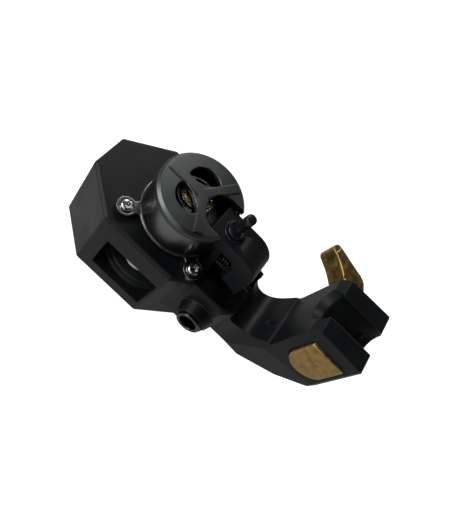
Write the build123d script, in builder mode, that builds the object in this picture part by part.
"""Rotary tattoo machine: octagonal motor housing, turret with sliding carriage, and an arm with a cam-lever tube vise."""
import os
from math import atan2, degrees, hypot

from build123d import *

os.makedirs("parts", exist_ok=True)

# Driving dimensions, millimetres. Motor axis is Z through the origin, needle line runs along +X, the back cover lies on Z = 0.
COVER_T = 2.8
FRONT_Z = 27.0
OCT_LEFT, OCT_RIGHT, OCT_HALF = -23.9, 19.9, 14.75
OCT_CORNER_L, OCT_CORNER_R, OCT_FLAT = -12.5, 8.6, 5.5
CAVITY_R, CAVITY_TOP = 12.9, 22.6
ROOT_HALF, ROOT_BOTTOM, ROOT_END = 11.7, 9.6, 26.0
BARREL_R, BARREL_BORE, BARREL_TOP = 10.9, 9.9, 38.2
EAR_X, EAR_Y, EAR_R, EAR_T, FOOT_R, WEB_W = 10.9, 9.3, 2.55, 1.5, 11.2, 3.2
CAP_R, CAP_TOP, CAP_PLATE = 11.25, 40.3, 1.4
SPOKE_R, SPOKE_W, SPOKE_RISE = 10.0, 2.2, 0.45
SLAB_HALF, SLAB_BOTTOM, SLAB_TOP = 4.33, 34.6, 38.7
PIN_X, PIN_R, PIN_TOP = 11.5, 1.35, 46.5
THROW = 1.1
FOLLOWER_R, JOURNAL_R = 5.0, 3.0
FOLLOWER_LOW, FOLLOWER_HIGH = 35.2, 38.2
TUBE_Z, TUBE_R, VISE_TOP = 44.1, 4.0, 46.1
VISE_START, VISE_END = 38.0, 53.6
BOLT_X, BOLT_Z, BOLT_R = 43.3, 37.3, 1.25
SHOE_LEFT, SHOE_RIGHT, SHOE_TOP, SHOE_SHOULDER, SHOE_BOTTOM = 41.4, 51.4, 41.6, 32.4, 28.3
GUIDE_X, GUIDE_Z, GUIDE_R = 48.6, 34.0, 0.8
CAM_Y, CAM_R, CAM_THROW = 13.0, 3.4, 0.65
LEVER_LOW, LEVER_HIGH = 34.0, 40.6
JACK_X, JACK_Z, JACK_R, JACK_END = 19.7, 18.3, 3.45, 15.3
SOFT = 0.9


def octagon(offset=0.0):
    """Corner points of the housing's eight-sided outline, drawn in by offset."""
    left, right, half = OCT_LEFT + offset, OCT_RIGHT - offset, OCT_HALF - offset
    flat = OCT_FLAT - offset * 0.35
    inner_l, inner_r = OCT_CORNER_L + offset * 0.3, OCT_CORNER_R - offset * 0.3
    return [
        (left, -flat), (inner_l, -half), (inner_r, -half), (right, -flat),
        (right, flat), (inner_r, half), (inner_l, half), (left, flat),
    ]


def shoe_outline(grow=0.0):
    """Tombstone face of the brass shoe: flat on top, straight sides, one round foot."""
    left, right = SHOE_LEFT - grow, SHOE_RIGHT + grow
    top, foot = SHOE_TOP + grow, SHOE_BOTTOM - grow
    middle = (left + right) / 2
    with BuildSketch(Plane.XZ) as face:
        with BuildLine():
            Polyline((left, SHOE_SHOULDER), (left, top), (right, top), (right, SHOE_SHOULDER))
            ThreePointArc((right, SHOE_SHOULDER), (middle, foot), (left, SHOE_SHOULDER))
        make_face()
        fillet(face.vertices(), 0.9 + grow)
    return face.sketch


def save(part, name):
    """Label one piece and write it out."""
    part.label = name
    export_step(part, f"parts/{name}.step")


# The arm: side profile, cut to the plan outline and to the bevelled cross section.
with BuildPart() as arm:
    with BuildSketch(Plane.XZ):
        with BuildLine():
            saddle = Spline(
                (25.9, 27.0), (26.3, 23.8), (28.4, 21.2), (31.5, 20.6), (34.8, 22.7), (37.2, 26.6), (VISE_START, 31.0),
                tangents=[(0, -1), (0, 1)],
            )
            Polyline(
                (VISE_START, 31.0), (VISE_START, 43.7), (39.6, VISE_TOP), (52.7, VISE_TOP), (VISE_END, 44.6),
                (VISE_END, 27.3), (52.0, 24.2), (46.9, 16.4), (37.5, 8.9), (32.2, ROOT_BOTTOM), (12.0, ROOT_BOTTOM),
                (12.0, 27.0), (25.9, 27.0),
            )
        make_face()
    extrude(amount=20, both=True)
    with BuildSketch(Plane.XY):
        with BuildLine():
            Line((12.0, -ROOT_HALF), (12.0, ROOT_HALF))
            Line((12.0, ROOT_HALF), (18.6, ROOT_HALF))
            Spline((18.6, ROOT_HALF), (23.6, 6.2), (29.0, 5.6), (34.0, 6.9), (VISE_START, 8.6))
            Line((VISE_START, 8.6), (52.4, 9.0))
            Line((52.4, 9.0), (VISE_END, 8.0))
            Line((VISE_END, 8.0), (VISE_END, -8.0))
            Line((VISE_END, -8.0), (52.4, -9.0))
            Line((52.4, -9.0), (VISE_START, -8.6))
            Spline((VISE_START, -8.6), (34.6, -7.6), (31.2, -7.2), (28.0, -8.2), (24.0, -ROOT_HALF))
            Line((24.0, -ROOT_HALF), (12.0, -ROOT_HALF))
        make_face()
    extrude(amount=60, mode=Mode.INTERSECT)
    with BuildSketch(Plane.YZ.offset(10)):
        Polygon((-9.1, 50), (-9.1, 28.4), (-7.0, 8), (7.0, 8), (9.1, 28.4), (9.1, 50), align=None)
    extrude(amount=60, mode=Mode.INTERSECT)

# Housing, arm and vise body: one piece.
with BuildPart() as frame:
    with BuildSketch(Plane.XY.offset(COVER_T)):
        Polygon(*octagon(), align=None)
    extrude(amount=FRONT_Z - COVER_T)
    fillet(frame.edges().filter_by(Axis.Z), SOFT)
    with BuildSketch(Plane.XY.offset(ROOT_BOTTOM)):
        Polygon((8.0, -13.4), (ROOT_END - 12.2, -ROOT_HALF), (23.4, -ROOT_HALF), (ROOT_END, -9.3),
                (ROOT_END, 2.0), (24.0, 5.4), (19.0, ROOT_HALF), (ROOT_END - 12.2, ROOT_HALF), (8.0, 13.4), align=None)
    extrude(amount=FRONT_Z - ROOT_BOTTOM)
    chamfer(frame.faces().sort_by(Axis.Z)[-1].outer_wire().edges(), 0.8)
    add(arm.part)
    # boss for the jack, with a soft foot
    with BuildSketch(Plane((JACK_X, -ROOT_HALF + 0.6, JACK_Z), x_dir=(1, 0, 0), z_dir=(0, -1, 0))):
        Circle(5.0)
    extrude(amount=JACK_END - ROOT_HALF, taper=18)
    # motor cavity, open at the back, and the bore up to the turret
    with Locations((0, 0, (COVER_T + CAVITY_TOP) / 2)):
        Cylinder(CAVITY_R, CAVITY_TOP - COVER_T, mode=Mode.SUBTRACT)
    with Locations((0, 0, 25)):
        Cylinder(7.0, 10, mode=Mode.SUBTRACT)
    # window in the lower flank
    with Locations((-0.3, -12.5, 12.3)):
        Box(16.6, 7.0, 14.2, mode=Mode.SUBTRACT)
    # recess for the foot of the carriage
    with BuildSketch(Plane.XY.offset(FRONT_Z)) as recess:
        with Locations((20.5, -2.3)):
            RectangleRounded(13.4, 16.0, 5.0)
    extrude(amount=-4.6, mode=Mode.SUBTRACT)
    # guide rod seat
    with Locations(Location((18.6, 0, 24.9), (0, 90, 0))):
        Cylinder(1.0, 14.0, mode=Mode.SUBTRACT)
    # open-topped tube channel and its countersunk mouth on the saddle side
    with Locations(Location(((VISE_START + VISE_END) / 2, 0, TUBE_Z), (0, 90, 0))):
        Cylinder(TUBE_R, 20.0, mode=Mode.SUBTRACT)
    with Locations(Location((VISE_START, 0, TUBE_Z), (0, 90, 0))):
        Cone(6.2, TUBE_R, 4.4, mode=Mode.SUBTRACT)
    # pocket for the brass shoe, and the draw bolt's hole
    add(extrude(shoe_outline(0.3), amount=14.0, mode=Mode.PRIVATE), mode=Mode.SUBTRACT)
    add(extrude(shoe_outline(0.3), amount=-0.4, mode=Mode.PRIVATE), mode=Mode.SUBTRACT)
    with Locations(Location((BOLT_X, 5.0, BOLT_Z), (90, 0, 0))):
        Cylinder(BOLT_R + 0.15, 14.0, mode=Mode.SUBTRACT)
    # guide hole for the shoe's pin
    with Locations(Location((GUIDE_X, 2.9, GUIDE_Z), (90, 0, 0))):
        Cylinder(GUIDE_R + 0.02, 6.0, mode=Mode.SUBTRACT)
    # ear screw holes and back cover screw holes
    with Locations((-EAR_X, -EAR_Y, FRONT_Z), (EAR_X, -EAR_Y, FRONT_Z), (EAR_X, EAR_Y, FRONT_Z)):
        Cylinder(0.8, 8.0, mode=Mode.SUBTRACT)
    with Locations(*[(x, y, COVER_T) for x in (-19.6, 15.6) for y in (-4.4, 4.4)]):
        Cylinder(0.8, 12.0, mode=Mode.SUBTRACT)
    # jack bore, clear through to the cavity
    with Locations(Location((JACK_X, -9.5, JACK_Z), (90, 0, 0))):
        Cylinder(2.6, 13.0, mode=Mode.SUBTRACT)
    with Locations(Location((14.6, -6.2, JACK_Z), (0, 90, 0))):
        Cylinder(1.2, 9.0, mode=Mode.SUBTRACT)
    # seats for the three grub screws
    with Locations((24.2, -5.4, 22.0), (35.8, -1.9, 23.4), (50.6, 2.4, 39.6)):
        Cylinder(0.75, 5.0, mode=Mode.SUBTRACT)
save(frame.part, "frame")

with BuildPart() as rear_cover:
    with BuildSketch():
        Polygon(*octagon(), align=None)
    extrude(amount=COVER_T)
    fillet(rear_cover.edges().filter_by(Axis.Z), SOFT)
    chamfer(rear_cover.faces().sort_by(Axis.Z)[0].edges(), 0.7)
    with Locations((0, 0, COVER_T + 1.15)):
        Cylinder(CAVITY_R - 0.1, 2.3)
    with Locations((0, 0, COVER_T + 1.2)):
        Cylinder(CAVITY_R - 1.6, 2.4, mode=Mode.SUBTRACT)
    with Locations(*[(x, y, 0) for x in (-19.6, 15.6) for y in (-4.4, 4.4)]):
        Cylinder(1.75, 2.6, mode=Mode.SUBTRACT)
        Cylinder(0.95, 8.0, mode=Mode.SUBTRACT)
save(rear_cover.part, "rear_cover")


def screw(x, y, seat, up, head_r, head_t, shank_r, shank_l, star_r):
    """Round-headed screw with a six-lobed recess; up is +1 or -1 along Z, seat is the level under the head."""
    with BuildPart() as item:
        with Locations((x, y, seat + up * head_t / 2)):
            Cylinder(head_r, head_t)
        crown = item.faces().sort_by(Axis.Z)[-1 if up > 0 else 0]
        fillet(crown.edges(), head_t * 0.45)
        with Locations((x, y, seat + up * (head_t / 2 + 0.3))):
            for k in range(3):
                Box(star_r * 2, star_r * 0.62, head_t, rotation=(0, 0, 60 * k), mode=Mode.SUBTRACT)
        with Locations((x, y, seat - up * shank_l / 2)):
            Cylinder(shank_r, shank_l)
    return item.part


ears = [(-EAR_X, -EAR_Y), (EAR_X, -EAR_Y), (EAR_X, EAR_Y)]
ear_screws = Compound([screw(x, y, FRONT_Z + EAR_T - 0.4, 1, 1.75, 1.25, 0.78, 4.6, 0.8) for x, y in ears])
save(ear_screws, "ear_screws")
backs = [(x, y) for x in (-19.6, 15.6) for y in (-4.4, 4.4)]
rear_screws = Compound([screw(x, y, 1.3, -1, 1.65, 1.1, 0.78, 5.8, 0.8) for x, y in backs])
save(rear_screws, "rear_screws")

# Turret barrel with three lobed ears and a slot for the carriage.
with BuildPart() as turret:
    with BuildSketch(Plane.XY.offset(FRONT_Z)) as foot:
        Circle(FOOT_R)
        with Locations(*ears):
            Circle(EAR_R)
        for x, y in ears:
            with Locations(Location((x * 0.86, y * 0.86, 0), (0, 0, degrees(atan2(y, x))))):
                Rectangle(hypot(x, y) * 0.28, WEB_W)
        fillet(foot.vertices(), 0.7)
    extrude(amount=EAR_T)
    with Locations((0, 0, (FRONT_Z + BARREL_TOP) / 2)):
        Cylinder(BARREL_R, BARREL_TOP - FRONT_Z)
    with Locations((0, 0, (FRONT_Z + 1.6 + BARREL_TOP) / 2 + 1)):
        Cylinder(BARREL_BORE, BARREL_TOP - FRONT_Z - 1.6 + 2, mode=Mode.SUBTRACT)
    with Locations((0, 0, FRONT_Z)):
        Cylinder(5.2, 6.0, mode=Mode.SUBTRACT)
    with Locations((10.0, 0, 38.4)):
        Box(12.0, 2 * SLAB_HALF + 0.5, 8.8, mode=Mode.SUBTRACT)
    with Locations(*[(x, y, FRONT_Z + EAR_T - 0.4 + 1.5) for x, y in ears]):
        Cylinder(1.95, 3.0, mode=Mode.SUBTRACT)
    with Locations(*[(x, y, FRONT_Z) for x, y in ears]):
        Cylinder(0.95, 4.0, mode=Mode.SUBTRACT)
save(turret.part, "turret")

# Cap: three raised spokes, two lens openings, one notch open towards the vise.
with BuildPart() as cap:
    with Locations((0, 0, (BARREL_TOP + CAP_TOP) / 2)):
        Cylinder(CAP_R, CAP_TOP - BARREL_TOP)
    chamfer(cap.faces().sort_by(Axis.Z)[-1].edges(), 0.7)
    with Locations((0, 0, BARREL_TOP - 0.3)):
        Cylinder(BARREL_BORE - 0.05, 1.8)
    with Locations((0, 0, (BARREL_TOP - 1.3 + CAP_TOP - CAP_PLATE) / 2)):
        Cylinder(9.0, CAP_TOP - CAP_PLATE - BARREL_TOP + 1.3, mode=Mode.SUBTRACT)
    # raised spokes
    with BuildSketch(Plane.XY.offset(CAP_TOP - 0.2)):
        for turn in (60, 180, 300):
            with Locations(Plane.XY.rotated((0, 0, turn)).location):
                with Locations((SPOKE_R / 2 - 0.3, 0)):
                    Rectangle(SPOKE_R + 0.6, SPOKE_W)
    extrude(amount=SPOKE_RISE + 0.2)
    # lens openings
    for turn in (120, 240):
        with BuildSketch(Plane.XY.offset(CAP_TOP + 1).rotated((0, 0, turn))) as lens:
            with BuildLine():
                ThreePointArc((3.7, -4.2), (7.3, 0), (3.7, 4.2))
                ThreePointArc((3.7, 4.2), (2.5, 0), (3.7, -4.2))
            make_face()
            fillet(lens.vertices(), 0.7)
        extrude(amount=-4.0, mode=Mode.SUBTRACT)
    # notch
    with BuildSketch(Plane.XY.offset(CAP_TOP + 1)):
        with Locations((7.0, 0)):
            Circle(5.2)
        with Locations((12.0, 0)):
            Rectangle(10.0, 10.4)
    extrude(amount=-6.0, mode=Mode.SUBTRACT)
save(cap.part, "cap")

# Carriage: flat bar over the front face, hooked foot in the recess, guide tongue on the rod.
with BuildPart() as carriage:
    with BuildSketch(Plane.XZ) as hook:
        with BuildLine():
            Line((6.65, SLAB_TOP), (19.2, SLAB_TOP))
            Line((19.2, SLAB_TOP), (22.9, 35.8))
            Line((22.9, 35.8), (23.3, 25.4))
            Line((23.3, 25.4), (17.9, 26.9))
            Line((17.9, 26.9), (17.8, SLAB_BOTTOM - 2.2))
            Line((17.8, SLAB_BOTTOM - 2.2), (15.8, SLAB_BOTTOM))
            Line((15.8, SLAB_BOTTOM), (6.65, SLAB_BOTTOM))
            Line((6.65, SLAB_BOTTOM), (6.65, SLAB_TOP))
        make_face()
        fillet(hook.vertices().filter_by_position(Axis.Z, 35.0, 39.0).filter_by_position(Axis.X, 19.0, 23.2), 4.0)
        fillet(hook.vertices().filter_by_position(Axis.X, 15.0, 17.85), 1.2)
    extrude(amount=SLAB_HALF, both=True)
    with Locations((20.6, 0, 26.0)):
        Box(4.6, 4.4, 5.4)
    with Locations(Location((20.6, 0, 24.9), (0, 90, 0))):
        Cylinder(1.08, 10.0, mode=Mode.SUBTRACT)
    with Locations((PIN_X, 0, 37.0)):
        Cylinder(0.9, 4.0, mode=Mode.SUBTRACT)
save(carriage.part, "carriage")

with BuildPart() as guide_rod:
    with Locations(Location((18.6, 0, 24.9), (0, 90, 0))):
        Cylinder(1.0, 14.0)
save(guide_rod.part, "guide_rod")

with BuildPart() as return_spring:
    with BuildLine() as coil:
        Helix(0.78, 2.6, 1.55, center=(14.5, 0, 24.9), direction=(1, 0, 0))
    with BuildSketch(Plane(origin=coil.line @ 0, z_dir=coil.line % 0)):
        Circle(0.24)
    sweep(is_frenet=True)
save(return_spring.part, "return_spring")

with BuildPart() as needle_pin:
    with Locations((PIN_X, 0, (SLAB_TOP + 1.5 + PIN_TOP) / 2)):
        Cylinder(PIN_R, PIN_TOP - SLAB_TOP - 1.5)
    fillet(needle_pin.faces().sort_by(Axis.Z)[-1].edges(), 0.35)
    with Locations((PIN_X, 0, SLAB_TOP + 0.75)):
        Cylinder(1.1, 1.5)
    with Locations((PIN_X, 0, 37.0)):
        Cylinder(0.9, 3.9)
save(needle_pin.part, "needle_pin")


def ring(outer, inner, low, high, x=0.0, y=0.0, soften=0.0):
    """Plain ring standing on Z."""
    with BuildPart() as item:
        with Locations((x, y, (low + high) / 2)):
            Cylinder(outer, high - low)
            Cylinder(inner, high - low + 2, mode=Mode.SUBTRACT)
        if soften:
            chamfer(item.edges().filter_by(GeomType.CIRCLE).group_by(SortBy.RADIUS)[-1], soften)
    return item.part


save(Compound([ring(2.95, 1.15, SLAB_TOP + 0.02, SLAB_TOP + 0.42, PIN_X, soften=0.1),
               ring(2.45, 1.15, SLAB_TOP + 0.95, SLAB_TOP + 1.35, PIN_X, soften=0.1)]), "pin_washers")
save(ring(2.0, 1.15, SLAB_TOP + 0.44, SLAB_TOP + 0.93, PIN_X), "pin_spacer")

# Drive: shaft, brass eccentric and its clamp screw.
with BuildPart() as motor_shaft:
    with Locations((0, 0, 20.9)):
        Cylinder(1.0, 30.2)
save(motor_shaft.part, "motor_shaft")

with BuildPart() as eccentric:
    with Locations((0, 0, 32.4)):
        Cylinder(4.4, 4.4)
    with Locations((-THROW, 0, 36.5)):
        Cylinder(JOURNAL_R - 0.01, 3.8)
    with Locations((0, 0, 33.0)):
        Cylinder(1.01, 6.2, mode=Mode.SUBTRACT)
    with Locations(Location((2.7, 0, 32.0), (0, 90, 0))):
        Cylinder(0.8, 3.6, mode=Mode.SUBTRACT)
save(eccentric.part, "eccentric")

with BuildPart() as hub_grub:
    with Locations(Location((2.6, 0, 32.0), (0, 90, 0))):
        Cylinder(0.78, 3.0)
save(hub_grub.part, "hub_grub")

save(ring(3.7, JOURNAL_R, FOLLOWER_LOW, FOLLOWER_HIGH, -THROW, soften=0.0), "follower_inner")
save(ring(FOLLOWER_R, 4.35, FOLLOWER_LOW, FOLLOWER_HIGH, -THROW, soften=0.15), "follower_outer")
with BuildPart() as follower_cage:
    with Locations((-THROW, 0, 36.7)):
        with PolarLocations(4.02, 9):
            Sphere(0.31)
save(follower_cage.part, "follower_balls")

# Motor, held between the front plate and the back cover.
with BuildPart() as motor_can:
    with Locations((0, 0, (6.5 + CAVITY_TOP) / 2)):
        Cylinder(8.6, CAVITY_TOP - 6.5)
    with Locations((0, 0, 24.2)):
        Cylinder(4.0, 4.2)
    with Locations((0, 0, 15.0)):
        Cylinder(1.6, 30.0, mode=Mode.SUBTRACT)
save(motor_can.part, "motor_can")
save(ring(1.6, 1.04, 23.0, 26.2), "front_bush")
save(ring(1.6, 1.04, 6.6, 9.0), "rear_bush")
with BuildPart() as motor_pad:
    add(ring(10.4, 8.6, 8.0, 22.0))
    with Locations(Location((-0.2, -9.0, 14.0), (90, 0, 0))):
        Cylinder(4.6, 8.0, mode=Mode.INTERSECT)
save(motor_pad.part, "motor_pad")
with BuildPart() as motor_flange:
    with Locations((0, 0, 5.7)):
        Cylinder(12.6, 1.2)
    with Locations((0, 0, 6.75)):
        Cylinder(11.5, 0.9)
    with Locations((0, 0, 6.0)):
        Cylinder(8.65, 4.0, mode=Mode.SUBTRACT)
save(motor_flange.part, "motor_flange")
with BuildPart() as end_bell:
    with Locations((0, 0, 5.75)):
        Cylinder(8.6, 1.5)
    with Locations((0, 0, 4.5)):
        Cylinder(3.0, 1.2)
    with Locations((0, 0, 5.5)):
        Cylinder(1.06, 4.0, mode=Mode.SUBTRACT)
    for side in (-1, 1):
        with Locations((0, side * 5.6, 5.0)):
            Box(2.4, 0.6, 6.0, mode=Mode.SUBTRACT)
save(end_bell.part, "end_bell")
with BuildPart() as terminals:
    with Locations((0, 5.6, 4.7), (0, -5.6, 4.7)):
        Box(2.0, 0.4, 2.4)
save(terminals.part, "motor_terminals")

# Jack on the lower flank, axis along Y.
jack_plane = Plane((JACK_X, 0, JACK_Z), x_dir=(1, 0, 0), z_dir=(0, -1, 0))


def tube_y(outer, inner, start, end):
    """Ring about the jack's axis, from start to end counted outwards along -Y."""
    with BuildPart() as item:
        with BuildSketch(jack_plane.offset(start)):
            Circle(outer)
            if inner:
                Circle(inner, mode=Mode.SUBTRACT)
        extrude(amount=end - start)
    return item.part


with BuildPart() as jack_shell:
    add(tube_y(JACK_R, 2.4, JACK_END - 0.6, JACK_END + 0.3))
    chamfer(jack_shell.faces().sort_by(Axis.Y)[0].outer_wire().edges(), 0.3)
    add(tube_y(2.58, 2.4, 11.4, JACK_END - 0.6))
    add(tube_y(2.58, 2.0, 7.6, 11.4))
save(jack_shell.part, "jack_shell")
save(tube_y(1.98, 1.2, 7.6, 10.6), "jack_insulator")
save(tube_y(1.18, 0.8, 7.2, 11.0), "jack_contact")

# Vise parts: brass shoe drawn across by the bolt, cam lever and pivot pin.
with BuildPart() as clamp_shoe:
    add(extrude(shoe_outline(), amount=9.4, mode=Mode.PRIVATE))
    with Locations(Location((46.0, 0, TUBE_Z), (0, 90, 0))):
        Cylinder(TUBE_R + 0.04, 20.0, mode=Mode.SUBTRACT)
    with Locations(Location((BOLT_X, -2.0, BOLT_Z), (90, 0, 0))):
        Cylinder(BOLT_R + 0.02, 10.0, mode=Mode.SUBTRACT)
    with Locations(Location((GUIDE_X, 0, GUIDE_Z), (90, 0, 0))):
        Cylinder(GUIDE_R + 0.04, 6.6, mode=Mode.SUBTRACT)
save(clamp_shoe.part, "clamp_shoe")

with BuildPart() as draw_bolt:
    with BuildSketch(Plane((BOLT_X, 0, BOLT_Z), x_dir=(1, 0, 0), z_dir=(0, 1, 0)).offset(-7.0)):
        Circle(BOLT_R)
    extrude(amount=CAM_Y + 7.0 - 1.2)
    with Locations((BOLT_X, CAM_Y, BOLT_Z)):
        Cylinder(2.1, 2.2)
        Cylinder(1.02, 4.0, mode=Mode.SUBTRACT)
save(draw_bolt.part, "draw_bolt")

with BuildPart() as shoe_guide:
    with Locations(Location((GUIDE_X, 1.4, GUIDE_Z), (90, 0, 0))):
        Cylinder(GUIDE_R, 9.0)
save(shoe_guide.part, "shoe_guide")

with BuildPart() as lever:
    with BuildSketch(Plane.XY.offset(LEVER_LOW)):
        with BuildLine():
            Polyline((45.7, 15.0), (44.6, 16.4), (43.3, 17.1), (39.2, 18.1), (34.0, 19.4), (32.9, 18.3), (33.6, 17.2),
                     (36.3, 15.5), (39.0, 13.2), (40.4, 11.2), (BOLT_X, CAM_Y - 2.0), (45.7, 15.0))
        make_face()
        with Locations((BOLT_X, CAM_Y - CAM_THROW)):
            Circle(CAM_R)
    extrude(amount=LEVER_HIGH - LEVER_LOW)
    # fork slot, swept over the bolt's whole swing
    with BuildSketch(Plane.XY.offset(BOLT_Z - 1.25)):
        with Locations((BOLT_X, CAM_Y)):
            Circle(2.4)
            Polygon((-1.45, 0), (-1.45, -6.2), (3.4, -6.2), (6.2, -3.4), (6.2, 1.5), (0, 1.5), align=None)
    extrude(amount=2.5, mode=Mode.SUBTRACT)
    with Locations((BOLT_X, CAM_Y, BOLT_Z)):
        Cylinder(1.0, 12.0, mode=Mode.SUBTRACT)
save(lever.part, "lever")

with BuildPart() as lever_pin:
    with Locations((BOLT_X, CAM_Y, BOLT_Z)):
        Cylinder(1.0, LEVER_HIGH - LEVER_LOW + 0.4)
save(lever_pin.part, "lever_pin")


def grub(x, y, top, depth):
    """Small headless screw with a hexagon socket, its top at the given level."""
    with BuildPart() as item:
        with Locations((x, y, top - depth / 2)):
            Cylinder(0.72, depth)
        with BuildSketch(Plane.XY.offset(top)):
            with Locations((x, y)):
                RegularPolygon(0.4, 6)
        extrude(amount=-0.6, mode=Mode.SUBTRACT)
    return item.part


save(Compound([grub(24.2, -5.4, 22.7, 2.6), grub(35.8, -1.9, 24.0, 2.6), grub(50.6, 2.4, 40.3, 2.8)]), "grub_screws")
